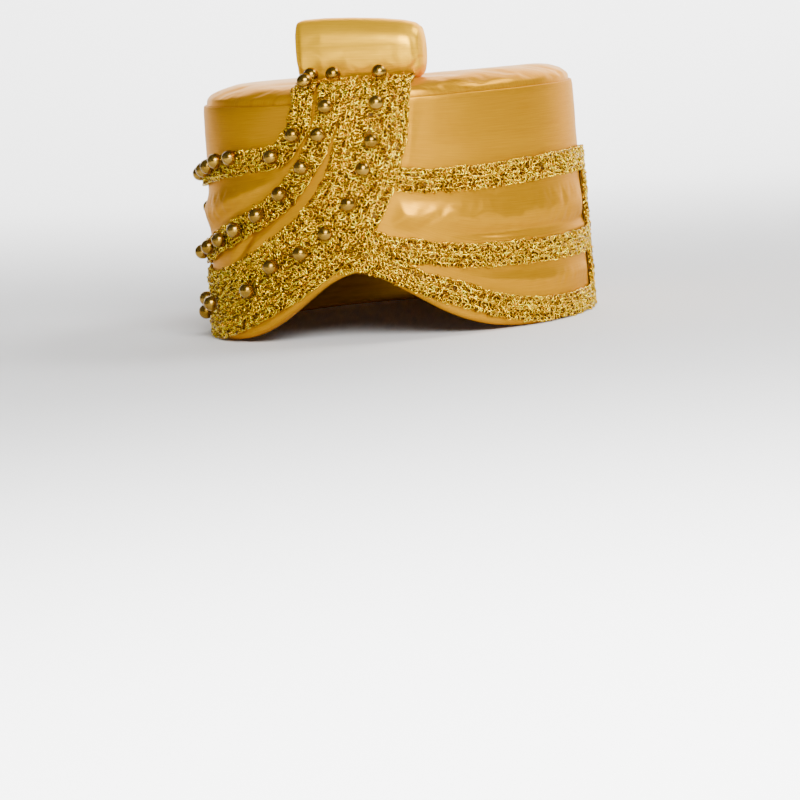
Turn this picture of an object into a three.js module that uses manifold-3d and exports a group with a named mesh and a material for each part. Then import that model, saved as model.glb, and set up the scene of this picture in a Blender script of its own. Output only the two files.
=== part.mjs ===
// A gold satin turban hat, built as it is sewn: a padded oval wall with an arched hem, a cushioned
// top, a stuffed satin topknot, flat gold braid laid over the front in bands, and brass domes sewn
// down the braid on one side.
// Millimetres, +Z up. The front faces -Y. Left and right are those of someone who faces the front,
// so that left is -X.

import * as THREE from 'three';
import { mergeVertices } from 'three/addons/utils/BufferGeometryUtils.js';
import Module from 'manifold-3d';

const wasm = await Module();
wasm.setup();

// Driving dimensions

const HEAD_WIDTH = 175; // the opening from ear to ear
const HEAD_LENGTH = 200; // the opening from forehead to back
const WALL_THICKNESS = 8; // satin over foam, at the hem
const WALL_HEIGHT = 116; // from the hem's flat to the crown's edge
const WALL_TAPER = 2.5; // how far the wall leans in between the hem and the crown's edge
const ARCH_HEIGHT = 33.5; // the hem's arch over the forehead
const ARCH_SPREAD = 25.5; // degrees of turn over which the arch dies away
const ARCH_FALL = 1.8; // how steeply it does so: 2 is a bell, and more is squarer
const HEM_ROUND = 2.6; // the rolled outer corner of the hem
const EDGE_ROUND = 1.2; // the folded outer corner at the crown's edge
const PUFF = 2.4; // how far the satin swells between the bands of braid
const PUFF_START = 2.5; // distance from a braid's edge at which it begins to swell
const PUFF_RUN = 12; // further distance over which it swells
const CALM_PUFF = 0.35; // the slight swelling above the bands and round the back

const CROWN_INSET = 0.8; // the top cushion's edge, in from the wall's face
const SHOULDER_RUN = 17; // the cushion's round shoulder, measured inwards
const SHOULDER_RISE = 8; // and upwards
const BACK_FALL = 1.5; // how far the cushion drops from its middle to the back
const SAG_DEPTH = 3.6; // the hollow in the cushion behind the topknot
const SAG_MIDDLE = 18; // how far right of the middle the hollow lies
const SAG_SPREAD = 36; // half its width

const KNOT_WIDTH = 62;
const KNOT_HEIGHT = 34;
const KNOT_DEPTH = 30;
const KNOT_SETBACK = 23; // from the crown's front edge back to the topknot's face
const KNOT_SIDE = 2; // how far right of the middle it is sewn
const KNOT_SINK = 2.5; // how far its foot presses into the cushion

const BRAID_WIDTH = 10.6;
const BRAID_THICKNESS = 2.4;
const BRAID_MARGIN = 1; // satin left bare between the lowest braid and the hem
const BRAID_TUCK = 5; // length of braid that runs on past the topknot's face
const LEFT_UPRIGHT = 93; // degrees from the middle of the front to the left side's upright braid
const RIGHT_UPRIGHT = 97; // and to the right side's, which lies a little further back

const DOME_DIAMETER = 7.6;
const DOME_CUT = 1.9; // sliced off the ball to give the dome its flat back

const GAP = 0.3; // running clearance between pieces that are sewn together

// Sizes that follow

const PITCH = BRAID_WIDTH + GAP;
const HEM = { x: HEAD_WIDTH / 2 + WALL_THICKNESS, y: HEAD_LENGTH / 2 + WALL_THICKNESS };
const EDGE = { x: HEM.x - WALL_TAPER, y: HEM.y - WALL_TAPER };
// A quarter of an oval with the shoulder's run and rise, measured along its curve
const SHOULDER_LENGTH = (Math.PI / 2) * Math.hypot(SHOULDER_RUN, SHOULDER_RISE) * Math.SQRT1_2;
// From the crown's edge over the shoulder to a braid's end under the topknot
const TUCK_END = SHOULDER_LENGTH + KNOT_SETBACK - SHOULDER_RUN + BRAID_TUCK;

const SATIN = { color: 0xe9a93c, roughness: 0.42, metalness: 0.1 };
const GOLD_BRAID = { color: 0xb8862a, roughness: 0.35, metalness: 0.85 };
const BRASS = { color: 0x9a7b45, roughness: 0.22, metalness: 1 };

// Small sums used throughout

const radians = (degrees) => THREE.MathUtils.degToRad(degrees);
const ease = (value, from, to) => THREE.MathUtils.smoothstep(value, from, to);
const mix = (from, to, share) => THREE.MathUtils.lerp(from, to, share);

// The hat's skin. A place on it is a turn, in degrees from the middle of the front towards the
// right, and a climb in millimetres, up the wall from the hem's flat and on over the top.

function hemHeight(turn) {
  const fade = Math.exp(-((Math.abs(turn) / ARCH_SPREAD) ** ARCH_FALL));
  const levelBelow = 0.015;
  return (ARCH_HEIGHT * Math.max(0, fade - levelBelow)) / (1 - levelBelow);
}

function topSag(x, y) {
  const across = Math.exp(-(((x - SAG_MIDDLE) / SAG_SPREAD) ** 2));
  const hollow = SAG_DEPTH * across * ease(y, -EDGE.y / 2, EDGE.y / 4);
  return hollow + BACK_FALL * ease(y, -EDGE.y / 4, EDGE.y);
}

function shoulder(over) {
  const bend = (Math.PI / 2) * Math.min(over / SHOULDER_LENGTH, 1);
  return {
    inwards: SHOULDER_RUN * (1 - Math.cos(bend)) + Math.max(over - SHOULDER_LENGTH, 0),
    up: SHOULDER_RISE * Math.sin(bend),
    share: Math.sin(bend),
  };
}

function ovalPoint(turn, halfWidth, halfLength, height) {
  const angle = radians(turn);
  return new THREE.Vector3(halfWidth * Math.sin(angle), -halfLength * Math.cos(angle), height);
}

function skinPoint(turn, climb) {
  if (climb <= WALL_HEIGHT) {
    const lean = WALL_TAPER * (climb / WALL_HEIGHT);
    return ovalPoint(turn, HEM.x - lean, HEM.y - lean, climb);
  }
  const { inwards, up, share } = shoulder(climb - WALL_HEIGHT);
  const inset = inwards + CROWN_INSET * share;
  const point = ovalPoint(turn, EDGE.x - inset, EDGE.y - inset, WALL_HEIGHT + GAP * share + up);
  point.z -= topSag(point.x, point.y);
  return point;
}

function skinNormal(turn, climb) {
  const step = 0.5;
  const along = skinPoint(turn + step, climb).sub(skinPoint(turn - step, climb));
  const upwards = skinPoint(turn, climb + step).sub(skinPoint(turn, climb - step));
  return along.cross(upwards).normalize();
}

function liftedPoint(turn, climb, lift) {
  return skinPoint(turn, climb).addScaledVector(skinNormal(turn, climb), lift);
}

function lengthPerDegree(turn, climb = 0) {
  const angle = radians(turn);
  const inset = climb > WALL_HEIGHT ? shoulder(climb - WALL_HEIGHT).inwards : 0;
  return radians(Math.hypot((EDGE.x - inset) * Math.cos(angle), (EDGE.y - inset) * Math.sin(angle)));
}

// Solids from rings of points. A looped stack of rings closes on itself like a tyre, and any other
// stack is closed by a fan at each end.

function solidFromRings(rings, looped) {
  const count = rings[0].length;
  const points = rings.flat();
  const faces = [];
  const stacks = looped ? rings.length : rings.length - 1;
  for (let ring = 0; ring < stacks; ring += 1) {
    const here = ring * count;
    const next = ((ring + 1) % rings.length) * count;
    for (let i = 0; i < count; i += 1) {
      const j = (i + 1) % count;
      faces.push(here + i, here + j, next + j, here + i, next + j, next + i);
    }
  }
  if (!looped) {
    capEnd(rings[0], 0, points, faces, true);
    capEnd(rings[rings.length - 1], stacks * count, points, faces, false);
  }
  return outwardSolid(points, faces);
}

function capEnd(ring, first, points, faces, reversed) {
  const middle = points.length;
  const sum = ring.reduce((total, point) => total.add(point), new THREE.Vector3());
  points.push(sum.divideScalar(ring.length));
  for (let i = 0; i < ring.length; i += 1) {
    const j = (i + 1) % ring.length;
    faces.push(middle, first + (reversed ? j : i), first + (reversed ? i : j));
  }
}

function outwardSolid(points, faces) {
  const vertices = new Float32Array(points.flatMap((point) => point.toArray()));
  const geometry = new THREE.BufferGeometry();
  geometry.setAttribute('position', new THREE.BufferAttribute(vertices, 3));
  geometry.setIndex(faces);
  const solid = toSolid(geometry);
  if (solid.volume() > 0) return solid;
  const turned = faces.map((_, i) => faces[i - (i % 3) + (2 - (i % 3))]);
  geometry.setIndex(turned);
  return toSolid(geometry);
}

function toSolid(geometry) {
  const plain = geometry.clone();
  plain.deleteAttribute('normal');
  plain.deleteAttribute('uv');
  const merged = mergeVertices(plain, 1e-3);
  const vertProperties = merged.attributes.position.array;
  const triVerts = new Uint32Array(merged.index.array);
  return new wasm.Manifold(new wasm.Mesh({ numProp: 3, vertProperties, triVerts }));
}

function toGeometry(solid) {
  const mesh = solid.getMesh();
  const geometry = new THREE.BufferGeometry();
  geometry.setAttribute('position', new THREE.BufferAttribute(mesh.vertProperties, 3));
  geometry.setIndex(new THREE.BufferAttribute(mesh.triVerts, 1));
  geometry.computeVertexNormals();
  return geometry;
}

// What is left of a band once its tail beyond the braid that covers it is trimmed away.
function largestBody(solid) {
  return solid.decompose().reduce((best, body) => (body.volume() > best.volume() ? body : best));
}

// Braid routes. Each row is a place on the skin: turn in degrees, and rise as a share of the way
// from lying along the hem, at 0, to the crown's edge, at 1. besides says how many braid pitches
// to the right the row is pushed, so that neighbours stay clear of each other, and over is a
// share of the run across the shoulder to the topknot. hemPitches is how far above the hem the
// middle of the braid lies at rise 0, counted in the same way.

const ROUTES = {
  spine: {
    hemPitches: 1.5,
    rows: [
      { turn: 12.2, rise: 1, over: 1 },
      { turn: 9.6, rise: 1, over: 0.45 },
      { turn: 8.7, rise: 1 },
      { turn: 7.2, rise: 0.77 },
      { turn: 3.9, rise: 0.5 },
      { turn: -0.8, rise: 0.24 },
      { turn: -10.5, rise: 0.07 },
      { turn: -23, rise: 0.06 },
      { turn: -36, rise: 0.05 },
      { turn: -54, rise: 0.01 },
      { turn: -75, rise: 0 },
      { turn: -LEFT_UPRIGHT, rise: 0 },
    ],
  },
  middle_left: {
    hemPitches: 0.5,
    rows: [
      { turn: 6.7, rise: 1, over: 1, besides: -2 },
      { turn: 8, rise: 1, over: 0.45, besides: -2 },
      { turn: 8.5, rise: 1, besides: -2 },
      { turn: 5.6, rise: 0.81, besides: -2 },
      { turn: -0.4, rise: 0.63, besides: -2 },
      { turn: -8.8, rise: 0.52, besides: -2 },
      { turn: -18.2, rise: 0.475, besides: -2 },
      { turn: -28, rise: 0.44, besides: -2 },
      { turn: -46, rise: 0.37, besides: -2 },
      { turn: -66, rise: 0.33, besides: -1 },
      { turn: -LEFT_UPRIGHT, rise: 0.315 },
    ],
  },
  upper_left: {
    hemPitches: 0.5,
    rows: [
      { turn: 1.8, rise: 1, over: 1, besides: -3 },
      { turn: 5.6, rise: 1, over: 0.45, besides: -3 },
      { turn: 6.9, rise: 1, besides: -3 },
      { turn: 4, rise: 0.84, besides: -3 },
      { turn: -2, rise: 0.75, besides: -3 },
      { turn: -14, rise: 0.745, besides: -3 },
      { turn: -30, rise: 0.73, besides: -3 },
      { turn: -50, rise: 0.7, besides: -2 },
      { turn: -70, rise: 0.685, besides: -1 },
      { turn: -LEFT_UPRIGHT, rise: 0.68 },
    ],
  },
  upper_right: {
    hemPitches: 0.5,
    rows: [
      { turn: 1, rise: 0.54, besides: 1 },
      { turn: 12, rise: 0.56, besides: 1 },
      { turn: 27, rise: 0.605, besides: 1 },
      { turn: 45, rise: 0.63, besides: 1 },
      { turn: 66, rise: 0.64 },
      { turn: RIGHT_UPRIGHT, rise: 0.64 },
    ],
  },
  middle_right: {
    hemPitches: 0.5,
    rows: [
      { turn: -4, rise: 0.14, besides: 1 },
      { turn: 3, rise: 0.13, besides: 1 },
      { turn: 12.5, rise: 0.185, besides: 1 },
      { turn: 26, rise: 0.24, besides: 1 },
      { turn: 47, rise: 0.27, besides: 1 },
      { turn: 66, rise: 0.268 },
      { turn: RIGHT_UPRIGHT, rise: 0.268 },
    ],
  },
  lower_right: {
    hemPitches: 0.5,
    rows: [
      { turn: -6, rise: 0.02 },
      { turn: 2, rise: 0.005 },
      { turn: 10, rise: 0.005 },
      { turn: 19, rise: 0.02 },
      { turn: 31, rise: 0.045 },
      { turn: 41, rise: 0.03 },
      { turn: 52, rise: 0.01 },
      { turn: 66, rise: 0 },
      { turn: RIGHT_UPRIGHT, rise: 0 },
    ],
  },
};

const ROUTE_STEP = 2;

function placeOf(row, hemPitches) {
  const turn = row.turn + ((row.besides ?? 0) * PITCH) / lengthPerDegree(0);
  const lowest = hemHeight(turn) + hemPitches * PITCH + BRAID_MARGIN;
  const climb = mix(lowest, WALL_HEIGHT, row.rise) + (row.over ?? 0) * TUCK_END;
  return new THREE.Vector3(turn * lengthPerDegree(0), climb, 0);
}

// A route as closely spaced places, each with the direction of its run.
function routePlaces({ rows, hemPitches }) {
  const curve = new THREE.CatmullRomCurve3(
    rows.map((row) => placeOf(row, hemPitches)),
    false,
    'centripetal',
  );
  const steps = Math.ceil(curve.getLength() / ROUTE_STEP);
  const places = curve.getSpacedPoints(steps).map((point) => {
    return { turn: point.x / lengthPerDegree(0), climb: point.y };
  });
  return withHeadings(places);
}

function withHeadings(places) {
  return places.map((place, i) => {
    const before = places[Math.max(i - 1, 0)];
    const after = places[Math.min(i + 1, places.length - 1)];
    const run = (after.turn - before.turn) * lengthPerDegree(place.turn, place.climb);
    const heading = new THREE.Vector2(run, after.climb - before.climb).normalize();
    return { turn: place.turn, climb: place.climb, heading };
  });
}

// The same route moved sideways, to the right of its run.
function besidePlace({ turn, climb, heading }, distance) {
  return {
    turn: turn - (heading.y * distance) / lengthPerDegree(turn, climb),
    climb: climb + heading.x * distance,
  };
}

function besideRoute(places, distance) {
  return withHeadings(places.map((place) => besidePlace(place, distance)));
}

// The upright braid at each side joins the ends of that side's bands.
function uprightPlaces(turn, top) {
  const bottom = BRAID_MARGIN;
  const steps = Math.ceil((top - bottom) / ROUTE_STEP);
  const places = Array.from({ length: steps + 1 }, (_, i) => {
    return { turn, climb: mix(top, bottom, i / steps) };
  });
  return withHeadings(places);
}

function lastClimb(places) {
  return places[places.length - 1].climb;
}

const spine = routePlaces(ROUTES.spine);
const routes = {
  braid_centre: spine,
  braid_inner: besideRoute(spine, -PITCH),
  braid_hem_left: besideRoute(spine, PITCH),
  braid_middle_left: routePlaces(ROUTES.middle_left),
  braid_upper_left: routePlaces(ROUTES.upper_left),
  braid_upper_right: routePlaces(ROUTES.upper_right),
  braid_middle_right: routePlaces(ROUTES.middle_right),
  braid_lower_right: routePlaces(ROUTES.lower_right),
};
routes.braid_side_left = uprightPlaces(
  -LEFT_UPRIGHT,
  lastClimb(routes.braid_upper_left) + BRAID_WIDTH / 2,
);
routes.braid_side_right = uprightPlaces(
  RIGHT_UPRIGHT,
  lastClimb(routes.braid_upper_right) + BRAID_WIDTH / 2,
);

// Braid. The section is a low roof over a flat back, as shares of the width and thickness.

const BRAID_SECTION = [
  { across: -0.5, up: 0 },
  { across: 0.5, up: 0 },
  { across: 0.5, up: 0.55 },
  { across: 0.23, up: 1 },
  { across: -0.23, up: 1 },
  { across: -0.5, up: 0.55 },
];

// Keeps the places that the shape needs: one wherever the skin's lean or the run has changed by
// more than the bend allowed, and one at least every stride.
function thinnedPlaces(places) {
  const stride = 9;
  const bendAllowed = radians(11);
  const kept = [places[0]];
  let since = 0;
  for (let i = 1; i < places.length - 1; i += 1) {
    const last = kept[kept.length - 1];
    since += Math.hypot(
      (places[i].turn - places[i - 1].turn) * lengthPerDegree(places[i].turn),
      places[i].climb - places[i - 1].climb,
    );
    const lean = skinNormal(last.turn, last.climb).angleTo(
      skinNormal(places[i + 1].turn, places[i + 1].climb),
    );
    const swing = Math.abs(last.heading.angleTo(places[i + 1].heading));
    if (since >= stride || lean > bendAllowed || swing > bendAllowed) {
      kept.push(places[i]);
      since = 0;
    }
  }
  kept.push(places[places.length - 1]);
  return kept;
}

function braidSolid(places, grow = 0) {
  const width = BRAID_WIDTH + 2 * grow;
  const height = BRAID_THICKNESS + 2 * grow;
  const rings = thinnedPlaces(places).map((place) => {
    return BRAID_SECTION.map(({ across, up }) => {
      const { turn, climb } = besidePlace(place, across * width);
      return liftedPoint(turn, climb, GAP - grow + up * height);
    });
  });
  return solidFromRings(rings, false);
}

// The topknot is a stuffed roll lying across the front of the crown, cut here into sections from
// left to right. Along is a share of half its width, and the rest are shares of its height and
// depth. It slopes down a little towards the right.

const KNOT_SECTIONS = [
  { along: -1, foot: 0.2, top: 0.9, depth: 0.52 },
  { along: -0.97, foot: 0.11, top: 0.97, depth: 0.76 },
  { along: -0.88, foot: 0.03, top: 0.995, depth: 0.92 },
  { along: -0.55, foot: 0, top: 1, depth: 1 },
  { along: -0.1, foot: 0, top: 0.98, depth: 1 },
  { along: 0.35, foot: 0, top: 0.945, depth: 1 },
  { along: 0.7, foot: 0.02, top: 0.9, depth: 0.97 },
  { along: 0.88, foot: 0.05, top: 0.855, depth: 0.9 },
  { along: 0.97, foot: 0.12, top: 0.79, depth: 0.74 },
  { along: 1, foot: 0.21, top: 0.7, depth: 0.5 },
];
const KNOT_SIDES = 20;
const KNOT_SQUARENESS = 2.5; // 2 is an oval section, and more is squarer

function knotFoot() {
  const y = -EDGE.y + KNOT_SETBACK + KNOT_DEPTH / 2;
  const seat = WALL_HEIGHT + GAP + SHOULDER_RISE - topSag(KNOT_SIDE, y);
  return new THREE.Vector3(KNOT_SIDE, y, seat - KNOT_SINK);
}

function knotSolid(grow = 0) {
  const footing = knotFoot();
  const power = 2 / KNOT_SQUARENESS;
  const bulge = (wave) => Math.sign(wave) * Math.abs(wave) ** power;
  const rings = KNOT_SECTIONS.map(({ along, foot, top, depth }) => {
    const halfDepth = (KNOT_DEPTH * depth) / 2 + grow;
    const halfHeight = (KNOT_HEIGHT * (top - foot)) / 2 + grow;
    const middle = (KNOT_HEIGHT * (top + foot)) / 2;
    return Array.from({ length: KNOT_SIDES }, (_, i) => {
      const angle = (2 * Math.PI * i) / KNOT_SIDES;
      return new THREE.Vector3(
        along * (KNOT_WIDTH / 2 + grow),
        halfDepth * bulge(Math.cos(angle)),
        middle + halfHeight * bulge(Math.sin(angle)),
      ).add(footing);
    });
  });
  return solidFromRings(rings, false);
}

// The top cushion: a flat underside on the wall's rim, a round shoulder, and a sagging top.

const CROWN_SIDES = 48;
const CROWN_CORNER = 0.37; // share of a side by which a corner of its outline lies off the middle
const SHOULDER_STEPS = 4;
const TOP_RINGS = [0.8, 0.58, 0.34, 0.14]; // shares of its size, for the rings across its top

function crownTopSolid(grow = 0) {
  const base = WALL_HEIGHT + GAP - grow;
  const ring = (inset, shrink, height) => {
    return Array.from({ length: CROWN_SIDES }, (_, i) => {
      const turn = (360 * (i + CROWN_CORNER)) / CROWN_SIDES;
      const inwards = inset + CROWN_INSET - grow;
      const point = ovalPoint(turn, EDGE.x - inwards, EDGE.y - inwards, height);
      point.x *= shrink;
      point.y *= shrink;
      if (height > base) point.z += grow * 2 - topSag(point.x, point.y);
      return point;
    });
  };
  const rings = [ring(0, 1, base)];
  for (let step = 1; step <= SHOULDER_STEPS; step += 1) {
    const { inwards, up } = shoulder((SHOULDER_LENGTH * step) / SHOULDER_STEPS);
    rings.push(ring(inwards, 1, base + up));
  }
  for (const shrink of TOP_RINGS) rings.push(ring(SHOULDER_RUN, shrink, base + SHOULDER_RISE));
  return solidFromRings(rings, false);
}

// The wall: one upright slice of its section at every turn, joined round like a tyre.

const FRONT_REACH = 105; // degrees each way from the middle of the front
const FRONT_STEP = 3.75;
const BACK_STEP = 7.5;
const WALL_ROWS = 17;
const CORNER_STEPS = 2;

// How far a place on the satin lies from the nearest braid's edge.
function bareDistance(turn, climb) {
  let nearest = Infinity;
  for (const places of Object.values(routes)) {
    for (const place of places) {
      const across = (place.turn - turn) * lengthPerDegree(turn);
      nearest = Math.min(nearest, Math.hypot(across, place.climb - climb));
    }
  }
  return nearest - BRAID_WIDTH / 2;
}

function highestBand(turn) {
  const places = turn < 0 ? routes.braid_upper_left : routes.braid_upper_right;
  const nearest = places.reduce((best, place) => {
    return Math.abs(place.turn - turn) < Math.abs(best.turn - turn) ? place : best;
  });
  return nearest.climb;
}

// The satin swells between the bands, and hardly at all above them or round the back.
function swelling(turn, climb) {
  const betweenSides = turn > -LEFT_UPRIGHT && turn < RIGHT_UPRIGHT;
  const amongBands = betweenSides && climb < highestBand(turn);
  const slack = amongBands ? PUFF : CALM_PUFF;
  return slack * ease(bareDistance(turn, climb), PUFF_START, PUFF_START + PUFF_RUN);
}

// A rounded corner, as how far in and how far up each of its points lies.
function roundCorner(radius) {
  return Array.from({ length: CORNER_STEPS + 1 }, (_, i) => {
    const angle = (Math.PI / 2) * (i / CORNER_STEPS);
    return { inwards: radius * (1 - Math.sin(angle)), up: radius * (1 - Math.cos(angle)) };
  });
}

function wallSlice(turn) {
  const hem = hemHeight(turn);
  const onWall = (climb, inwards) => {
    const outwards = ovalPoint(turn, 1, 1, 0);
    return skinPoint(turn, climb).addScaledVector(outwards, swelling(turn, climb) - inwards);
  };
  const inside = (height) => ovalPoint(turn, HEAD_WIDTH / 2, HEAD_LENGTH / 2, height);
  const slice = [inside(hem)];
  for (const { inwards, up } of roundCorner(HEM_ROUND)) slice.push(onWall(hem + up, inwards));
  for (let row = 1; row <= WALL_ROWS; row += 1) {
    slice.push(onWall(mix(hem + HEM_ROUND, WALL_HEIGHT - EDGE_ROUND, row / WALL_ROWS), 0));
  }
  slice.push(
    onWall(WALL_HEIGHT, EDGE_ROUND),
    inside(WALL_HEIGHT),
    inside(mix(hem, WALL_HEIGHT, 0.5)),
  );
  return slice;
}

function wallSolid() {
  const slices = [];
  for (let turn = -FRONT_REACH; turn < FRONT_REACH; turn += FRONT_STEP) {
    slices.push(wallSlice(turn));
  }
  for (let turn = FRONT_REACH; turn < 360 - FRONT_REACH; turn += BACK_STEP) {
    slices.push(wallSlice(turn > 180 ? turn - 360 : turn));
  }
  return solidFromRings(slices, true);
}

// Brass domes. At is each dome's place as a share of its braid's length, from where a dome first
// clears the topknot, and aside is how far off the braid's middle it is sewn, as a share of the
// braid's width.

const DOMES = [
  {
    braid: 'braid_upper_left',
    at: [0, 0.049, 0.207, 0.305, 0.476, 0.561, 0.622, 0.671, 0.89],
    aside: [0.1, 0.1, 0.1, 0, -0.3, -0.28, -0.15, -0.1, 0],
  },
  {
    braid: 'braid_middle_left',
    at: [0.01, 0.112, 0.184, 0.276, 0.367, 0.459, 0.551, 0.633, 0.714, 0.837, 0.929],
    aside: [0, 0, 0, -0.05, -0.12, 0, 0.05, 0.08, 0.05, 0, 0],
  },
  {
    braid: 'braid_centre',
    at: [0.017, 0.092, 0.168, 0.227, 0.303, 0.378, 0.445, 0.521, 0.605, 0.773, 0.84, 0.916],
    aside: [0.12, 0.1, 0.08, 0.04, 0, 0, -0.08, -0.36, 0, -0.05, 0.45, 0],
  },
  { braid: 'braid_side_left', at: [0.28, 0.58], aside: [0.1, 0] },
];
const DOME_SIDES = 10;
const DOME_STEPS = 5;

function domeGeometry() {
  const radius = DOME_DIAMETER / 2;
  const start = Math.asin(1 - DOME_CUT / radius);
  const profile = [new THREE.Vector2(0, 0)];
  for (let step = 0; step < DOME_STEPS; step += 1) {
    const angle = mix(-start, Math.PI / 2, step / DOME_STEPS);
    const height = radius * Math.sin(angle) + radius - DOME_CUT;
    profile.push(new THREE.Vector2(radius * Math.cos(angle), height));
  }
  profile.push(new THREE.Vector2(0, DOME_DIAMETER - DOME_CUT));
  return new THREE.LatheGeometry(profile, DOME_SIDES);
}

// A dome has room anywhere on the wall, and on the top in front of the topknot's face.
function hasRoom({ turn, climb }) {
  const face = -EDGE.y + KNOT_SETBACK - GAP;
  return climb < WALL_HEIGHT || skinPoint(turn, climb).y < face - DOME_DIAMETER / 2;
}

function placeOnBraid(places, share, aside) {
  const first = places.findIndex(hasRoom);
  const place = places[Math.round(mix(first, places.length - 1, share))];
  return besidePlace(place, aside * BRAID_WIDTH);
}

function domeMesh(name, geometry, { turn, climb }) {
  const mesh = new THREE.Mesh(geometry, new THREE.MeshStandardMaterial(BRASS));
  mesh.name = name;
  mesh.position.copy(liftedPoint(turn, climb, GAP + BRAID_THICKNESS + GAP));
  const up = new THREE.Vector3(0, 1, 0);
  mesh.quaternion.setFromUnitVectors(up, skinNormal(turn, climb));
  return mesh;
}

// Assembly

function sewnMesh(name, solid, finish) {
  const mesh = new THREE.Mesh(toGeometry(solid), new THREE.MeshStandardMaterial(finish));
  mesh.name = name;
  return mesh;
}

// Each braid stops short of the topknot and of the braids that are sewn over its ends.
const SEWN_OVER = {
  braid_inner: ['braid_side_left'],
  braid_centre: ['braid_side_left'],
  braid_hem_left: ['braid_side_left'],
  braid_middle_left: ['braid_side_left'],
  braid_upper_left: ['braid_side_left'],
  braid_upper_right: ['braid_hem_left', 'braid_side_right'],
  braid_middle_right: ['braid_hem_left', 'braid_centre', 'braid_side_right'],
  braid_lower_right: ['braid_hem_left', 'braid_middle_right', 'braid_side_right'],
  braid_side_left: [],
  braid_side_right: [],
};

function trimmedBraid(name) {
  let solid = braidSolid(routes[name]).subtract(knotSolid(GAP));
  for (const other of SEWN_OVER[name]) solid = solid.subtract(braidSolid(routes[other], GAP));
  return largestBody(solid);
}

const hat = new THREE.Group();
hat.add(sewnMesh('crown_wall', wallSolid(), SATIN));
hat.add(sewnMesh('crown_top', crownTopSolid(), SATIN));
hat.add(sewnMesh('topknot', knotSolid().subtract(crownTopSolid(GAP)), SATIN));
for (const name of Object.keys(routes)) {
  hat.add(sewnMesh(name, trimmedBraid(name), GOLD_BRAID));
}

const dome = domeGeometry();
for (const { braid, at, aside } of DOMES) {
  at.forEach((share, i) => {
    const name = `${braid.replace('braid', 'dome')}_${i + 1}`;
    hat.add(domeMesh(name, dome, placeOnBraid(routes[braid], share, aside[i])));
  });
}

// The hat stands with the middle of its footprint over the origin.
hat.updateMatrixWorld(true);
const footprint = new THREE.Box3().setFromObject(hat, true);
const middle = footprint.getCenter(new THREE.Vector3());
hat.position.set(-middle.x, -middle.y, -footprint.min.z);

export default hat;
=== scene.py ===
# %% [markdown]
# # A gold satin turban
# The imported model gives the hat's frame: where each piece lies and how large it is. This lesson
# dresses that frame. Every soft solid is replaced by a satin, braid or brass piece that is made
# here, in the same place and in metres.

# %% Load the frame
import math

import bmesh
import bpy
import numpy as np
from mathutils import Matrix, Vector


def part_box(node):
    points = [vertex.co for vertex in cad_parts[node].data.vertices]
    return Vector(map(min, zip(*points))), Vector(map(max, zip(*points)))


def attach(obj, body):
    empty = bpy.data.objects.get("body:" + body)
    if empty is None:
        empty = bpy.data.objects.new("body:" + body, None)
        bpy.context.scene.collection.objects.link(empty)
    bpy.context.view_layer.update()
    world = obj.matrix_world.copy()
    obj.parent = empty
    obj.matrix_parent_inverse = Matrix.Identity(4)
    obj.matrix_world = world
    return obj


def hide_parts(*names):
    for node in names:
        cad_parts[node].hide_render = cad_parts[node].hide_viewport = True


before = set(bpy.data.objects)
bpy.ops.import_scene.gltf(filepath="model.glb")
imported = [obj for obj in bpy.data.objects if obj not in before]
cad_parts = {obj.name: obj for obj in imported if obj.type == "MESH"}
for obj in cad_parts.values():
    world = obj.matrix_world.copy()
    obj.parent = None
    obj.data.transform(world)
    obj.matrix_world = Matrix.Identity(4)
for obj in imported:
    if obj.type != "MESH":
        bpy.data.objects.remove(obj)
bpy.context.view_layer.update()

top_low, top_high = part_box("crown_top")
HAT_AXIS = np.array([(top_low.x + top_high.x) / 2, (top_low.y + top_high.y) / 2, 0])

# %% [markdown]
# ## The hat's sizes
# A hat is cut from a few measurements, and these are the same ones as the frame's. The length and
# width of the head set the oval, and everything else follows the wall's height and the hem's arch.
# Lengths are in metres, and angles round the hat are in degrees from the middle of the front.

# %% The head and the wall
MM = 0.001
HEAD_WIDTH = 175 * MM
HEAD_LENGTH = 200 * MM
WALL_THICKNESS = 8 * MM
WALL_HEIGHT = 116 * MM
WALL_TAPER = 2.5 * MM
ARCH_HEIGHT = 33.5 * MM
ARCH_SPREAD = 25.5
ARCH_FALL = 1.8
HEM_ROUND = 2.6 * MM
GAP = 0.3 * MM

HEM = np.array([HEAD_WIDTH / 2 + WALL_THICKNESS, HEAD_LENGTH / 2 + WALL_THICKNESS])
EDGE = HEM - WALL_TAPER
GIRTH = math.pi * (EDGE[0] + EDGE[1])
print("half widths at the hem", HEM, "and at the top", EDGE, "girth", round(GIRTH, 3))

# %% The cushion and the topknot
CROWN_INSET = 0.8 * MM
SHOULDER_RUN = 17 * MM
SHOULDER_RISE = 8 * MM
BACK_FALL = 1.5 * MM
SAG_DEPTH = 3.6 * MM
SAG_MIDDLE = 18 * MM
SAG_SPREAD = 36 * MM
KNOT_WIDTH = 62 * MM
KNOT_HEIGHT = 34 * MM
KNOT_DEPTH = 30 * MM
KNOT_SETBACK = 23 * MM
KNOT_SIDE = 2 * MM
KNOT_SINK = 2.5 * MM

KNOT_MIDDLE = (KNOT_SIDE, -EDGE[1] + KNOT_SETBACK + KNOT_DEPTH / 2)
SHOULDER_LENGTH = (math.pi / 2) * math.hypot(SHOULDER_RUN, SHOULDER_RISE) / math.sqrt(2)
print("over the shoulder", round(SHOULDER_LENGTH / MM, 1), "mm")

# %% The braid and the beads
BRAID_WIDTH = 10.6 * MM
BRAID_THICKNESS = 2.4 * MM
BRAID_MARGIN = 1 * MM
BRAID_TUCK = 5 * MM
LEFT_UPRIGHT = 93
RIGHT_UPRIGHT = 97
DOME_DIAMETER = 7.6 * MM
DOME_CUT = 1.9 * MM

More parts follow.
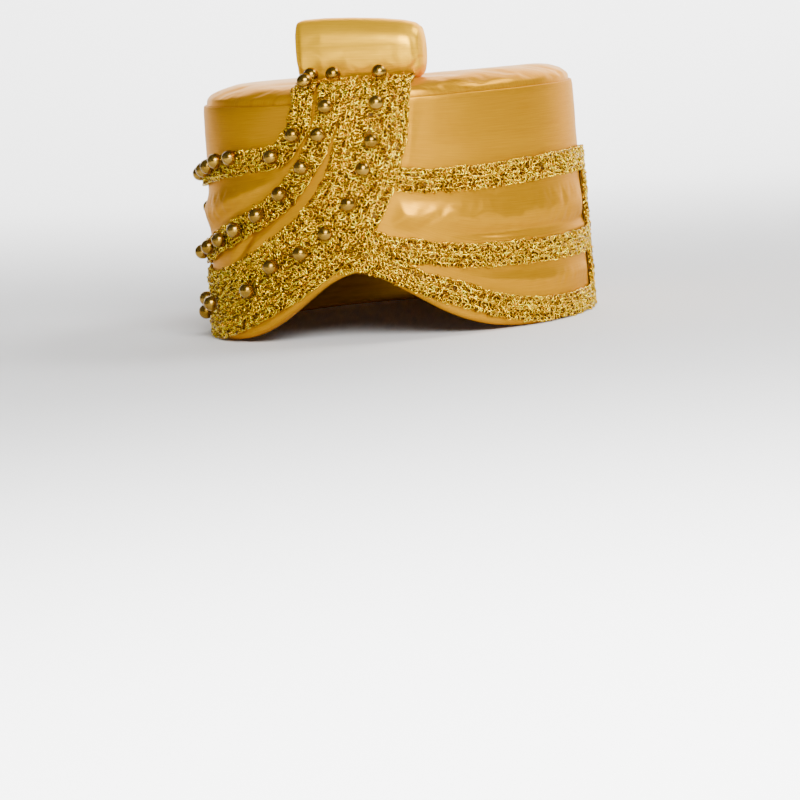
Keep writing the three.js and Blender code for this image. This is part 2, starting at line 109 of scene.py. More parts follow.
PITCH = BRAID_WIDTH + GAP
TUCK_END = SHOULDER_LENGTH + KNOT_SETBACK - SHOULDER_RUN + BRAID_TUCK
print("braids", round(PITCH / MM, 1), "mm apart, tucked in to", round(TUCK_END / MM, 1), "mm")

# %% [markdown]
# ## The skin
# Everything on this hat is sewn to one skin, the oval wall and the cushion on top. A place on it
# is a turn, in degrees from the middle of the front, and a climb up the wall and on over the top.
# With that map a braid's route is drawn flat, as on a paper pattern, and then wrapped round. The
# functions take whole arrays of places, because a braid has thousands of them.


# %% Map of the skin
def smooth_step(value, start, end):
    """Rises from 0 at the start to 1 at the end, without a corner."""
    share = np.clip((value - start) / (end - start), 0, 1)
    return share * share * (3 - 2 * share)


def hem_height(turn):
    """Height of the hem, which is arched over the forehead and level all round behind."""
    level_below = 0.015
    fade = np.exp(-((np.abs(turn) / ARCH_SPREAD) ** ARCH_FALL))
    return ARCH_HEIGHT * np.maximum(0, fade - level_below) / (1 - level_below)


def top_sag(x, y):
    """How far the cushion has sunk behind the topknot and towards the back."""
    across = np.exp(-(((x - SAG_MIDDLE) / SAG_SPREAD) ** 2))
    hollow = SAG_DEPTH * across * smooth_step(y, -EDGE[1] / 2, EDGE[1] / 4)
    return hollow + BACK_FALL * smooth_step(y, -EDGE[1] / 4, EDGE[1])


def shoulder(over):
    """How far in and up the cushion's shoulder has gone, and the share of its turn."""
    bend = (math.pi / 2) * np.clip(over / SHOULDER_LENGTH, 0, 1)
    inwards = SHOULDER_RUN * (1 - np.cos(bend)) + np.maximum(over - SHOULDER_LENGTH, 0)
    return inwards, SHOULDER_RISE * np.sin(bend), np.sin(bend)


def skin_point(turn, climb):
    turn, climb = np.broadcast_arrays(np.asarray(turn, float), np.asarray(climb, float))
    angle = np.radians(turn)
    on_wall = np.minimum(climb, WALL_HEIGHT)
    inwards, up, share = shoulder(climb - WALL_HEIGHT)
    inset = WALL_TAPER * on_wall / WALL_HEIGHT + inwards + CROWN_INSET * share
    x = (HEM[0] - inset) * np.sin(angle)
    y = -(HEM[1] - inset) * np.cos(angle)
    z = on_wall + GAP * share + up - top_sag(x, y) * (climb > WALL_HEIGHT)
    return np.stack([x, y, z], -1)


def skin_normal(turn, climb):
    step = 0.5
    along = skin_point(turn + step, climb) - skin_point(turn - step, climb)
    upwards = skin_point(turn, climb + step * MM) - skin_point(turn, climb - step * MM)
    normal = np.cross(along, upwards)
    return normal / np.linalg.norm(normal, axis=-1, keepdims=True)


def lifted_point(turn, climb, lift):
    return skin_point(turn, climb) + skin_normal(turn, climb) * np.asarray(lift)[..., None]


def length_per_degree(turn, climb=0.0):
    angle = np.radians(turn)
    inset, _, _ = shoulder(np.asarray(climb) - WALL_HEIGHT)
    run = np.hypot((EDGE[0] - inset) * np.cos(angle), (EDGE[1] - inset) * np.sin(angle))
    return np.radians(run)


print("front of the hem", skin_point(0, hem_height(0)).round(4))

# %% [markdown]
# ## The braid's routes
# A dressmaker pins a braid at a few marks and lets it find its own curve between them. Each row
# here is such a mark: turn, rise from the hem to the crown's edge, how many braids to the right
# it is pushed, and how far over the top it has gone. The number before a route's marks says how
# many braids above the hem its rise of 0 lies. The spline between the marks is the centripetal
# kind, which never loops or overshoots however unevenly the marks are spaced.

# %% Marks
ROUTE_MARKS = {
    "spine": (1.5, [
        (12.2, 1, 0, 1), (9.6, 1, 0, 0.45), (8.7, 1, 0, 0), (7.2, 0.77, 0, 0),
        (3.9, 0.5, 0, 0), (-0.8, 0.24, 0, 0), (-10.5, 0.07, 0, 0), (-23, 0.06, 0, 0),
        (-36, 0.05, 0, 0), (-54, 0.01, 0, 0), (-75, 0, 0, 0), (-LEFT_UPRIGHT, 0, 0, 0),
    ]),
    "braid_middle_left": (0.5, [
        (6.7, 1, -2, 1), (8, 1, -2, 0.45), (8.5, 1, -2, 0), (5.6, 0.81, -2, 0),
        (-0.4, 0.63, -2, 0), (-8.8, 0.52, -2, 0), (-18.2, 0.475, -2, 0), (-28, 0.44, -2, 0),
        (-46, 0.37, -2, 0), (-66, 0.33, -1, 0), (-LEFT_UPRIGHT, 0.315, 0, 0),
    ]),
    "braid_upper_left": (0.5, [
        (1.8, 1, -3, 1), (5.6, 1, -3, 0.45), (6.9, 1, -3, 0), (4, 0.84, -3, 0),
        (-2, 0.75, -3, 0), (-14, 0.745, -3, 0), (-30, 0.73, -3, 0), (-50, 0.7, -2, 0),
        (-70, 0.685, -1, 0), (-LEFT_UPRIGHT, 0.68, 0, 0),
    ]),
    "braid_upper_right": (0.5, [
        (1, 0.54, 1, 0), (12, 0.56, 1, 0), (27, 0.605, 1, 0), (45, 0.63, 1, 0),
        (66, 0.64, 0, 0), (RIGHT_UPRIGHT, 0.64, 0, 0),
    ]),
    "braid_middle_right": (0.5, [
        (-4, 0.14, 1, 0), (3, 0.13, 1, 0), (12.5, 0.185, 1, 0), (26, 0.24, 1, 0),
        (47, 0.27, 1, 0), (66, 0.268, 0, 0), (RIGHT_UPRIGHT, 0.268, 0, 0),
    ]),
    "braid_lower_right": (0.5, [
        (-6, 0.02, 0, 0), (2, 0.005, 0, 0), (10, 0.005, 0, 0), (19, 0.02, 0, 0),
        (31, 0.045, 0, 0), (41, 0.03, 0, 0), (52, 0.01, 0, 0), (66, 0, 0, 0),
        (RIGHT_UPRIGHT, 0, 0, 0),
    ]),
}
print(sum(len(marks) for _, marks in ROUTE_MARKS.values()), "marks on", len(ROUTE_MARKS), "routes")

# %% Routes between the marks
ROUTE_STEP = 1 * MM
SPLINE_SAMPLES = 60
DEGREE = float(length_per_degree(0))


def mark_place(turn, rise, pushed, over, hem_pitches):
    turn = turn + pushed * PITCH / DEGREE
    lowest = hem_height(turn) + hem_pitches * PITCH + BRAID_MARGIN
    climb = lowest + (WALL_HEIGHT - lowest) * rise + over * TUCK_END
    return np.array([turn * DEGREE, climb])


def spline_through(marks):
    """Centripetal Catmull-Rom spline, as points close together."""
    ends = [2 * marks[0] - marks[1], *marks, 2 * marks[-1] - marks[-2]]
    share = np.linspace(0, 1, SPLINE_SAMPLES, endpoint=False)[:, None]
    pieces = []
    for before, start, end, after in zip(ends, ends[1:], ends[2:], ends[3:]):
        steps = (start - before, end - start, after - end)
        spans = [np.linalg.norm(step) ** 0.5 for step in steps]
        first = (start - before) / spans[0] - (end - before) / (spans[0] + spans[1])
        first = (first + (end - start) / spans[1]) * spans[1]
        last = (end - start) / spans[1] - (after - start) / (spans[1] + spans[2])
        last = (last + (after - end) / spans[2]) * spans[1]
        square = -3 * start + 3 * end - 2 * first - last
        cube = 2 * start - 2 * end + first + last
        pieces.append(start + first * share + square * share**2 + cube * share**3)
    return np.vstack([*pieces, marks[-1][None]])


def evenly_spaced(points, step):
    length = np.r_[0, np.cumsum(np.linalg.norm(np.diff(points, axis=0), axis=1))]
    stations = np.linspace(0, length[-1], int(length[-1] / step) + 1)
    return np.stack([np.interp(stations, length, column) for column in points.T], -1)


def with_headings(turn, climb):
    """A route: its places, and the direction it heads in at each."""
    run = np.gradient(turn) * length_per_degree(turn, climb)
    rise = np.gradient(climb)
    size = np.hypot(run, rise)
    return {"turn": turn, "climb": climb, "run": run / size, "rise": rise / size}


def beside(place, distance):
    """Turn and climb of a place moved to the right of the run."""
    side = distance / length_per_degree(place["turn"], place["climb"])
    return place["turn"] - place["rise"] * side, place["climb"] + place["run"] * distance


def route_of(name):
    hem_pitches, rows = ROUTE_MARKS[name]
    marks = [mark_place(*row, hem_pitches) for row in rows]
    flat = evenly_spaced(spline_through(marks), ROUTE_STEP)
    return with_headings(flat[:, 0] / DEGREE, flat[:, 1])


def upright(turn, top):
    """The route of a braid that runs straight down the side to the hem."""
    climb = np.linspace(top, BRAID_MARGIN, int((top - BRAID_MARGIN) / ROUTE_STEP))
    return with_headings(np.full(len(climb), float(turn)), climb)


# %% Every braid's route
spine = route_of("spine")
ROUTES = {name: route_of(name) for name in ROUTE_MARKS if name != "spine"}
ROUTES["braid_centre"] = spine
ROUTES["braid_inner"] = with_headings(*beside(spine, -PITCH))
ROUTES["braid_hem_left"] = with_headings(*beside(spine, PITCH))
for side, turn, top_braid in (
    ("left", -LEFT_UPRIGHT, "braid_upper_left"),
    ("right", RIGHT_UPRIGHT, "braid_upper_right"),
):
    ROUTES["braid_side_" + side] = upright(turn, ROUTES[top_braid]["climb"][-1] + BRAID_WIDTH / 2)
for name, route in ROUTES.items():
    print(name, len(route["turn"]), "mm")

# %% [markdown]
# ## The camera
# The photograph was taken with a long lens from a little to the hat's right, level with its
# middle, and with the head tilted. The camera takes up that whole attitude, so the hat itself
# can stand level on its hem.

# %% Camera
CAMERA_DISTANCE = 1.7
CAMERA_HEIGHT = 171 * MM
CAMERA_AZIMUTH = math.radians(11.5)
CAMERA_ROLL = math.radians(4.2)
CAMERA_PAN = math.radians(0.183)
CAMERA_TILT = math.radians(-7.143)
SENSOR = 36
LENS = 150


def make_camera():
    data = bpy.data.cameras.new("camera")
    data.sensor_width = SENSOR
    data.lens = LENS
    data.clip_start = 0.1
    data.clip_end = 50
    camera = bpy.data.objects.new("camera", data)
    bpy.context.scene.collection.objects.link(camera)
    heading = CAMERA_AZIMUTH + CAMERA_PAN
    right = Vector((math.cos(heading), math.sin(heading), 0))
    level = math.cos(CAMERA_TILT)
    ahead = Vector((-math.sin(heading) * level, math.cos(heading) * level, math.sin(CAMERA_TILT)))
    up = right.cross(ahead)
    rolled_right = math.cos(CAMERA_ROLL) * right - math.sin(CAMERA_ROLL) * up
    rolled_up = math.sin(CAMERA_ROLL) * right + math.cos(CAMERA_ROLL) * up
    turned = Matrix((rolled_right, rolled_up, -ahead)).transposed()
    place = Vector(HAT_AXIS) + Vector((
        CAMERA_DISTANCE * math.sin(CAMERA_AZIMUTH),
        -CAMERA_DISTANCE * math.cos(CAMERA_AZIMUTH),
        CAMERA_HEIGHT,
    ))
    camera.matrix_world = Matrix.Translation(place) @ turned.to_4x4()
    bpy.context.scene.camera = camera
    return camera


camera = make_camera()
print("camera at", tuple(round(v, 3) for v in camera.location))

# %% [markdown]
# ## Finishes
# Satin is a weave with long floats, so it throws a soft highlight across the thread and keeps its
# own colour in it. A metallic share of about half keeps the highlight gold, a middling roughness
# softens it, and anisotropy draws it out. The wale and the slubs, which are thicker stretches of
# thread, are bump in the cloth's own UV map, laid in real metres.


# %% Help for materials
def new_material(name):
    material = bpy.data.materials.new(name)
    material.use_nodes = True
    tree = material.node_tree
    return material, tree, tree.nodes["Principled BSDF"]


def object_coordinates(tree):
    return tree.nodes.new("ShaderNodeTexCoord").outputs["Object"]


def paint(tree, surface, source, tones):
    """Colours the surface by a ramp of tones over the source's values."""
    ramp = tree.nodes.new("ShaderNodeValToRGB")
    elements = ramp.color_ramp.elements
    while len(elements) < len(tones):
        elements.new(0.5)
    for element, (place, colour) in zip(elements, tones):
        element.position = place
        element.color = (*colour, 1)
    tree.links.new(source, ramp.inputs["Fac"])
    tree.links.new(ramp.outputs["Color"], surface.inputs["Base Color"])


def noise(tree, source, scale, stretch=(1, 1, 1), detail=3, roughness=0.5):
    mapping = tree.nodes.new("ShaderNodeMapping")
    mapping.inputs["Scale"].default_value = stretch
    tree.links.new(source, mapping.inputs["Vector"])
    texture = tree.nodes.new("ShaderNodeTexNoise")
    texture.inputs["Scale"].default_value = scale
    texture.inputs["Detail"].default_value = detail
    texture.inputs["Roughness"].default_value = roughness
    tree.links.new(mapping.outputs["Vector"], texture.inputs["Vector"])
    return texture.outputs["Fac"]


def bump(tree, height, strength, depth, normal=None):
    node = tree.nodes.new("ShaderNodeBump")
    node.inputs["Strength"].default_value = strength
    node.inputs["Distance"].default_value = depth
    tree.links.new(height, node.inputs["Height"])
    if normal is not None:
        tree.links.new(normal, node.inputs["Normal"])
    return node.outputs["Normal"]


def ranged(tree, source, low, high):
    """The source's values, spread from low to high."""
    node = tree.nodes.new("ShaderNodeMapRange")
    node.inputs["To Min"].default_value = low
    node.inputs["To Max"].default_value = high
    tree.links.new(source, node.inputs["Value"])
    return node.outputs["Result"]


# %% Satin
WEAVE_MAP = "weave"
SATIN_TONES = [
    (0.3, (0.47, 0.196, 0.0008)),
    (0.5, (0.52, 0.228, 0.0010)),
    (0.7, (0.57, 0.262, 0.0013)),
]
HIGHLIGHT_GOLD = (1, 0.62, 0.1, 1)
SATIN_ROUGHNESS = (0.3, 0.4)
SLUB_DEPTH = 0.1 * MM
WALE_DEPTH = 0.04 * MM
RIPPLE_DEPTH = 0.6 * MM


def gold_satin(name, tint_and_painted_light):
    """Gold satin. Its red, green and blue tones are multiplied by the given gain; a gain well above 1
    paints light onto it.
    """
    material, tree, surface = new_material(name)
    cloth = tree.nodes.new("ShaderNodeUVMap")
    cloth.uv_map = WEAVE_MAP
    along_cloth = cloth.outputs["UV"]
    streaks = noise(tree, along_cloth, 90, (0.5, 14, 1), detail=4, roughness=0.6)
    paint(tree, surface, streaks, [(at, np.array(tone) * tint_and_painted_light) for at, tone in SATIN_TONES])
    surface.inputs["Metallic"].default_value = 0.6
    surface.inputs["Specular IOR Level"].default_value = 0.05
    surface.inputs["Specular Tint"].default_value = HIGHLIGHT_GOLD
    gloss = ranged(tree, noise(tree, along_cloth, 160, (1, 7, 1)), *SATIN_ROUGHNESS)
    tree.links.new(gloss, surface.inputs["Roughness"])
    surface.inputs["Anisotropic"].default_value = 0.45
    tangent = tree.nodes.new("ShaderNodeTangent")
    tangent.direction_type = "UV_MAP"
    tangent.uv_map = WEAVE_MAP
    tree.links.new(tangent.outputs["Tangent"], surface.inputs["Tangent"])
    slubs = bump(tree, noise(tree, along_cloth, 240, (1, 9, 1), detail=4), 0.18, SLUB_DEPTH)
    wale = bump(tree, noise(tree, along_cloth, 2600, (1, 3, 1), detail=1), 0.15, WALE_DEPTH, slubs)
    waves = noise(tree, object_coordinates(tree), 38, (1, 1, 2), detail=2)
    tree.links.new(bump(tree, waves, 0.12, RIPPLE_DEPTH, wale), surface.inputs["Normal"])
    return material


SATIN = gold_satin("gold_satin", (1, 1.03, 1))
# The topknot's satin is the same satin made paler: painted light for the face it turns to the key
# lamp.
KNOT_SATIN_PAINTED_LIGHT = gold_satin("knot_satin_painted_light", (1.6, 1.9, 2))
print("finishes", SATIN.name, KNOT_SATIN_PAINTED_LIGHT.name)


# %% [markdown]
# The braid is worked from lurex, a yarn with a metal film wound round it. Up close it is all
# sparks: one loop mirrors the lamp and the next a dark corner. The film's crumples are a fine
# noise in the bump. The yarn's colour drifts at random from brown to pale gold, which paints
# dark patches and glints over the real reflections, and the ground under the loops is painted
# near black as shade between them.

# %% Lurex yarn and its ground
# Tones drift at random; the darkest is painted shade and the palest a painted glint.
YARN_TONES_AND_PAINTED_GLINTS = [
    (0.33, (0.22, 0.095, 0.001)),
    (0.47, (0.68, 0.38, 0.003)),
    (0.58, (0.94, 0.64, 0.008)),
    (0.70, (1.0, 0.84, 0.04)),
]
CRUMPLE_DEPTH = 0.12 * MM
# The ground is near black: painted shade for the gaps between the loops.
GROUND_PAINTED_SHADE_TONES = [(0.35, (0.06, 0.025, 0.001)), (0.65, (0.22, 0.10, 0.002))]
GROUND_DEPTH = 0.3 * MM


def lurex_yarn():
    material, tree, surface = new_material("lurex_yarn")
    coordinates = object_coordinates(tree)
    paint(tree, surface, noise(tree, coordinates, 420, detail=2), YARN_TONES_AND_PAINTED_GLINTS)
    surface.inputs["Metallic"].default_value = 1
    surface.inputs["Roughness"].default_value = 0.27
    crumple = bump(tree, noise(tree, coordinates, 2400, detail=2), 0.7, CRUMPLE_DEPTH)
    tree.links.new(crumple, surface.inputs["Normal"])
    return material


def braid_ground_painted_shade():
    material, tree, surface = new_material("braid_ground_painted_shade")
    weave = noise(tree, object_coordinates(tree), 900, detail=2)
    paint(tree, surface, weave, GROUND_PAINTED_SHADE_TONES)
    surface.inputs["Metallic"].default_value = 0.7
    surface.inputs["Roughness"].default_value = 0.5
    tree.links.new(bump(tree, weave, 0.8, GROUND_DEPTH), surface.inputs["Normal"])
    return material


YARN = lurex_yarn()
GROUND = braid_ground_painted_shade()
print("finishes", YARN.name, GROUND.name)


# %% [markdown]
# The beads are plated brass that has gone a little brown. They are nearly mirrors, so they need
# only a low roughness, with faint smears where fingers have touched them.

# %% Old brass
BRASS_TONES = [(0.35, (0.27, 0.145, 0.015)), (0.65, (0.43, 0.255, 0.038))]
BRASS_ROUGHNESS = (0.2, 0.33)


def old_brass():
    material, tree, surface = new_material("old_brass")
    coordinates = object_coordinates(tree)
    paint(tree, surface, noise(tree, coordinates, 130, detail=3), BRASS_TONES)
    surface.inputs["Metallic"].default_value = 1
    smears = ranged(tree, noise(tree, coordinates, 320, detail=2), *BRASS_ROUGHNESS)
    tree.links.new(smears, surface.inputs["Roughness"])
    return material


BRASS = old_brass()
print("finish", BRASS.name)

# %% [markdown]
# ## Cloth by the yard
# A length of satin is a grid whose vertices are moved to where the cloth lies. The grid keeps its
# own coordinates in a UV map of real metres, so that the weave stays at one scale wherever the
# cloth is bent. Where an edge meets itself it is sewn, which for a mesh means merged.


# %% Lay a grid of cloth
SAME_PLACE = 0.01 * MM


def piece_from(bm, name, *materials):
    """Turns a bmesh into a smooth object with its materials."""
    mesh = bpy.data.meshes.new(name)
    bm.to_mesh(mesh)
    bm.free()
    mesh.shade_smooth()
    for material in materials:
        mesh.materials.append(material)
    piece = bpy.data.objects.new(name, mesh)
    bpy.context.scene.collection.objects.link(piece)
    return piece


def lay_cloth(name, columns, rows, place, cut):
    """A grid of cloth, closed where its edges meet.

    Place gives the points for arrays of shares across and along the grid, and cut gives the same
    spots on the flat cloth, in metres.
    """
    bm = bmesh.new()
    bmesh.ops.create_grid(bm, x_segments=columns, y_segments=rows, size=0.5)
    flat = np.array([v.co for v in bm.verts])[:, :2] + 0.5
    points = place(flat[:, 0], flat[:, 1])
    spots = cut(flat[:, 0], flat[:, 1], points)
    weave = bm.loops.layers.uv.new(WEAVE_MAP)
    for face in bm.faces:
        for loop in face.loops:
            loop[weave].uv = spots[loop.vert.index]
    across, along = bm.verts.layers.float.new("across"), bm.verts.layers.float.new("along")
    for vert, point, (u, v) in zip(bm.verts, points + HAT_AXIS, flat):
        vert.co = point
        vert[across], vert[along] = u, v
    bmesh.ops.remove_doubles(bm, verts=bm.verts, dist=SAME_PLACE)
    bmesh.ops.recalc_face_normals(bm, faces=bm.faces)
    middle = sum((v.co for v in bm.verts), Vector()) / len(bm.verts)
    if sum((face.calc_center_median() - middle).dot(face.normal) for face in bm.faces) < 0:
        bmesh.ops.reverse_faces(bm, faces=bm.faces)
        print(name, "turned the right side out")
    print(name, len(bm.verts), "vertices", len(bm.faces), "faces")
    return piece_from(bm, name)


# %% Reach the vertices of a cloth
def points_of(mesh):
    points = np.empty(len(mesh.vertices) * 3)
    mesh.vertices.foreach_get("co", points)
    return points.reshape(-1, 3)


def put_points(mesh, points):
    mesh.vertices.foreach_set("co", np.asarray(points, float).ravel())
    mesh.update()


def normals_of(mesh):
    normals = np.empty(len(mesh.vertices) * 3)
    mesh.vertices.foreach_get("normal", normals)
    return normals.reshape(-1, 3)


def raise_satin(mesh, lift):
    """Moves each vertex out along its normal, or in where the lift is below zero."""
    put_points(mesh, points_of(mesh) + normals_of(mesh) * lift[:, None])


def layer(mesh, name):
    """One of the shares, across or along the grid, that lay_cloth kept with each vertex."""
    values = np.empty(len(mesh.vertices))
    mesh.attributes[name].data.foreach_get("value", values)
    return values


# %% [markdown]
# Padding pushes the satin out between its seams. Cloth simulation shows how: the vertices that
# are sewn down stay put, a light pressure blows the rest outwards, and a little spare cloth makes
# it wrinkle where it is held. No point may move further than the cap, so the hat keeps its size.


# %% Folds and gathers
def bell(value, middle, spread):
    """1 at the middle, falling away smoothly on both sides."""
    return np.exp(-(((value - middle) / spread) ** 2))


def fold_heights(place, folds, unit):
    """How far the folds lift the satin, or press it in, at each place on the flat pattern.

    A fold's columns are where it starts, where it ends, its height and its width.
    """
    lift = np.zeros(len(place))
    for *line, height, width in folds:
        start, end = np.array(line[:2]) * unit, np.array(line[2:]) * unit
        run = end - start
        share = (place - start) @ run / (run @ run)
        aside = np.linalg.norm(place - start - np.clip(share, 0, 1)[:, None] * run, axis=1)
        fade = np.sqrt(np.clip(1 - np.abs(2 * share - 1), 0, 1))
        lift += height * MM * fade * bell(aside, 0, width * MM)
    return lift


def gathers(turn, spacing, seed):
    """A seeded value from -1 to 1 that wavers round the hat, as gathered cloth does."""
    count = int(360 / spacing)
    aims = np.random.default_rng(seed).uniform(-1, 1, count)
    return np.interp(turn, np.arange(count) * 360 / count, aims, period=360)


# %% Blow satin up
SIMULATED_FRAMES = 20
SATIN_BEHAVIOUR = {
    "quality": 5,
    "mass": 0.3,
    "air_damping": 2,
    "tension_stiffness": 12,
    "compression_stiffness": 12,
    "shear_stiffness": 5,
    "bending_stiffness": 0.3,
    "use_pressure": True,
}


def puff_out(piece, sewn, pressure, slack, cap):
    """Runs Cloth on the piece and keeps its shape. Sewn is 1 where the satin is held."""
    start = points_of(piece.data)
    held = piece.vertex_groups.new(name="sewn")
    for index, weight in enumerate(sewn):
        held.add([index], float(weight), "REPLACE")
    cloth = piece.modifiers.new("Cloth", "CLOTH")
    cloth.settings.vertex_group_mass = held.name
    for setting, value in SATIN_BEHAVIOUR.items():
        setattr(cloth.settings, setting, value)
    cloth.settings.uniform_pressure_force = pressure
    cloth.settings.shrink_min = -slack
    cloth.settings.effector_weights.gravity = 0
    cloth.collision_settings.use_collision = False
    cloth.point_cache.frame_start = 1
    cloth.point_cache.frame_end = SIMULATED_FRAMES
    for number in range(1, SIMULATED_FRAMES + 1):
        bpy.context.scene.frame_set(number)
    posed = piece.evaluated_get(bpy.context.evaluated_depsgraph_get())
    moved = points_of(posed.data) - start
    piece.modifiers.remove(cloth)
    bpy.context.scene.frame_set(1)
    outwards = (moved * normals_of(piece.data)).sum(1)
    distance = np.linalg.norm(moved, axis=1, keepdims=True)
    kept = cap * np.tanh(distance / cap)
    put_points(piece.data, start + moved * kept / np.maximum(distance, 1e-9))
    print(piece.name, "moved", round(float(distance.max()) / MM, 2), "mm at most, kept",
          round(float(kept.max()) / MM, 2), "outwards", round(float(outwards.mean()) / MM, 3))


def finish_satin(piece, node, material):
    smooth = piece.modifiers.new("Subdivision", "SUBSURF")
    smooth.levels = 1
    smooth.render_levels = 1
    piece.data.materials.append(material)
    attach(piece, "root")
    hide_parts(node)


# %% [markdown]
# ## The wall
# The wall is foam wrapped in satin. Its section runs up the inside of the hem, round the rolled
# hem, up the outside, over the crisp fold at the top and down the inside again, and the grid
# carries that section round the oval. Between the braids the satin puffs out like quilting.

# %% Where the satin is free
PUFF = 2.4 * MM
PUFF_START = 2.5 * MM
PUFF_RUN = 12 * MM
CALM_PUFF = 0.35 * MM
ROUTE_PARTS = 12


def bare_distance(turn, climb, names=None):
    """Distance along the skin from each place to the nearest braid's edge.

    A route is taken in parts, which keeps the table of distances small.
    """
    nearest = np.full(len(turn), np.inf)
    for name in names or ROUTES:
        route = ROUTES[name]
        spots = np.stack([route["turn"], route["climb"]], -1)
        for part in np.array_split(spots, ROUTE_PARTS):
            across = (part[:, 0] - turn[:, None]) * length_per_degree(turn)[:, None]
            gap = np.hypot(across, part[:, 1] - climb[:, None]).min(1)
            nearest = np.minimum(nearest, gap)
    return nearest - BRAID_WIDTH / 2


def highest_band(turn):
    """How high the uppermost braid runs at each turn."""
    left, right = ROUTES["braid_upper_left"], ROUTES["braid_upper_right"]
    order = np.argsort(left["turn"])
    on_left = np.interp(turn, left["turn"][order], left["climb"][order])
    return np.where(turn < 0, on_left, np.interp(turn, right["turn"], right["climb"]))


def swelling(turn, climb, bare):
    """How far the satin swells: well out among the braids, and hardly at all elsewhere."""
    among = (turn > -LEFT_UPRIGHT) & (turn < RIGHT_UPRIGHT) & (climb < highest_band(turn))
    slack = np.where(among, PUFF, CALM_PUFF)
    return slack * smooth_step(bare, PUFF_START, PUFF_START + PUFF_RUN)


# %% The wall's section
WALL_COLUMNS = 288
OUTER_ROWS = 56
INNER_ROUND = 2 * MM
RIM_ROUND = 0.8 * MM
RIM_DROP = 0.8 * MM
LIP_WIDTH = 0.6 * MM
RIM_STEPS = 3
HEM_STEPS = 4
FLAT_STEPS = 2
INNER_ROWS = 8
WALL_CLOTH = 260 * MM


def section_stations():
    """The section's stations in order, each a zone and a share of that zone."""
    zones = (("inner_hem", HEM_STEPS), ("flat", FLAT_STEPS), ("outer_hem", HEM_STEPS),
             ("outer", OUTER_ROWS), ("rim", RIM_STEPS), ("lip", 1), ("top", FLAT_STEPS),
             ("inner", INNER_ROWS))
    stations = [(zone, step / steps) for zone, steps in zones for step in range(steps)]
    return stations + [("inner", 1.0)]


def section_point(turn, zone, share):
    """How high and how far in from the wall's outer face a station lies."""
    hem = hem_height(turn)
    bend = share * math.pi / 2
    full = WALL_THICKNESS
    if zone == "inner_hem":
        return hem + INNER_ROUND * (1 - math.sin(bend)), full - INNER_ROUND * (1 - math.cos(bend))
    if zone == "flat":
        return hem, full - INNER_ROUND - (full - INNER_ROUND - HEM_ROUND) * share
    if zone == "outer_hem":
        return hem + HEM_ROUND * (1 - math.cos(bend)), HEM_ROUND * (1 - math.sin(bend))
    if zone == "outer":
        low, high = hem + HEM_ROUND, WALL_HEIGHT - RIM_ROUND
        return low + (high - low) * share, 0
    if zone == "rim":
        return WALL_HEIGHT - RIM_ROUND * (1 - math.sin(bend)), RIM_ROUND * (1 - math.cos(bend))
    if zone == "lip":
        return WALL_HEIGHT, RIM_ROUND + LIP_WIDTH
    if zone == "top":
        start = RIM_ROUND + RIM_DROP
        return WALL_HEIGHT - RIM_DROP, start + (full - start) * share
    low, high = hem + INNER_ROUND, WALL_HEIGHT - RIM_DROP
    return high + (low - high) * share, full


STATIONS = section_stations()
print(len(STATIONS), "stations in the wall's section")


# %% Where the wall's cloth goes
BELOW_FOLD = 0.1 * MM


def turn_of(across):
    """The grid starts and ends at the middle of the back."""
    return across * 360 - 180


def wall_places(across, along):
    """The section carried round the oval, leaning in as the wall tapers."""
    turn = turn_of(across)
    number = np.rint(along * (len(STATIONS) - 1)).astype(int)
    climb, inwards = np.zeros(len(turn)), np.zeros(len(turn))
    for index, (zone, share) in enumerate(STATIONS):
        here = number == index
        climb[here], inwards[here] = section_point(turn[here], zone, share)
    outwards = np.stack([np.sin(np.radians(turn)), -np.cos(np.radians(turn)), 0 * turn], -1)
    face = skin_point(turn, np.minimum(climb, WALL_HEIGHT - BELOW_FOLD))
    lean = WALL_TAPER * climb / WALL_HEIGHT
    depth = inwards - np.clip(inwards / WALL_THICKNESS, 0, 1) * lean
    return np.stack([face[:, 0], face[:, 1], climb], -1) - outwards * depth[:, None]


def wall_cut(across, along, points):
    return np.stack([across * GIRTH, along * WALL_CLOTH], -1)


# %% [markdown]
# The creases are the ones that the photograph shows, drawn on the same flat pattern as the
# braids. The middle band on the right holds the satin down, and the satin laps over it in a lip.

# %% Creases in the wall's satin
# Turn and climb of the start, turn and climb of the end, height, width. All but the turns are in
# millimetres, and a height below zero is pressed in.
WALL_FOLDS = [
    (-93, 62, -72, 50, -0.9, 3.0), (-82, 66, -60, 60, 0.7, 3.0), (-62, 60, -38, 74, 1.0, 3.0),
    (-70, 52, -36, 68, -1.0, 2.8), (-58, 47, -30, 61, 0.6, 3.0), (-40, 84, -29, 80, -0.6, 1.8),
    (-30, 63, -46, 38, -1.7, 2.0), (-25, 62, -41, 41, 0.9, 2.2), (-26, 62, -34, 51, -0.8, 1.5),
    (-36, 60, -50, 40, 0.7, 2.2), (16, 63, 18, 46, 0.4, 3.4), (24, 61, 22, 49, -0.3, 2.6),
    (44, 65, 42, 43, -0.35, 2.4), (53, 64, 46, 47, -0.45, 2.2),
    (19.5, 118, 16.5, 76, 0.9, 2.6), (-31, 12, -35, 4, -0.8, 1.5), (-25, 17, -29, 9, -0.6, 1.5),
    (-37, 9, -41, 2, -0.6, 1.5), (33, 14, 30, 8, -0.5, 1.5), (46, 10, 43, 3, -0.5, 1.5),
]
LIP_RISE = 1.5 * MM
LIP_STARTS = (26, 40)
LIP_RIDGE = (2.2 * MM, 1.3 * MM)
LIP_VALLEY = (4.9 * MM, 1.4 * MM)
VALLEY_SHARE = 0.9


